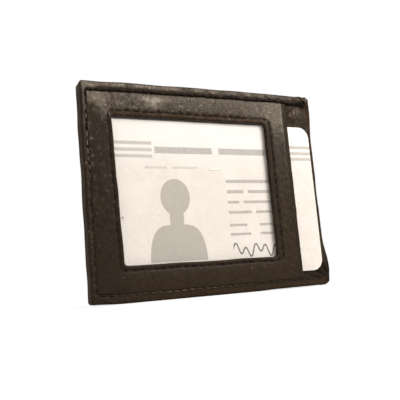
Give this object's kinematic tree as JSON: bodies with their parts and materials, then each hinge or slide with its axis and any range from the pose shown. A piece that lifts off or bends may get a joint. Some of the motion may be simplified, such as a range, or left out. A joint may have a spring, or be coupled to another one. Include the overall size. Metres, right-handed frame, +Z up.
{
  "type": "card holder with money clip",
  "caption": "Slim dark brown leather card holder with a clear identity window and thumb strip on the front, side-opening pockets and a sprung, hinged steel money clip on the back.",
  "frame": {"origin": "on the flat bottom edge, in the middle of the wallet's width and of its leather body's depth", "axes": "+X along the width towards the open side, +Y from the window towards the clip, +Z up the height"},
  "size_m": [0.09, 0.0117, 0.0715],
  "materials": {
    "leather": "dark brown grained leather with a slight sheen and pale scuffs",
    "film": "clear soft film with a faint haze",
    "card": null,
    "lining": "dark brown woven lining",
    "board": "grey-brown board",
    "steel": "fine brushed spring steel with polished edges",
    "wire": "drawn spring wire",
    "nickel": "nickel plated"
  },
  "bodies": {
    "wallet": {"rear_cover": "leather", "front_panel": "leather", "centre_panel": "leather", "window_film": "film", "pocket_lining_front": "lining", "pocket_lining_back": "lining", "stiffener_board": "board", "clip_base_plate": "steel", "clip_hinge_pin": "steel", "clip_spring": "wire", "clip_rivet_hinge": "nickel", "clip_rivet_nose": "nickel", "rivet_washer_hinge": "nickel", "rivet_washer_nose": "nickel"},
    "card": {"id_card": "card"},
    "arm": {"clip_arm": "steel"}
  },
  "joints": [
    {"name": "card_slide", "type": "slide", "parent": "wallet", "child": "card", "axis": [1, 0, 0], "range_m": [0, 0.088]},
    {"name": "clip_hinge", "type": "hinge", "parent": "wallet", "child": "arm", "pos_m": [-0.029, 0.00565, 0.03575], "axis": [0, 0, 1], "range_deg": [0, 30], "stiffness_Nm_per_rad": 0.06, "springref_deg": -45.84, "deforming": ["clip_spring"]}
  ]
}
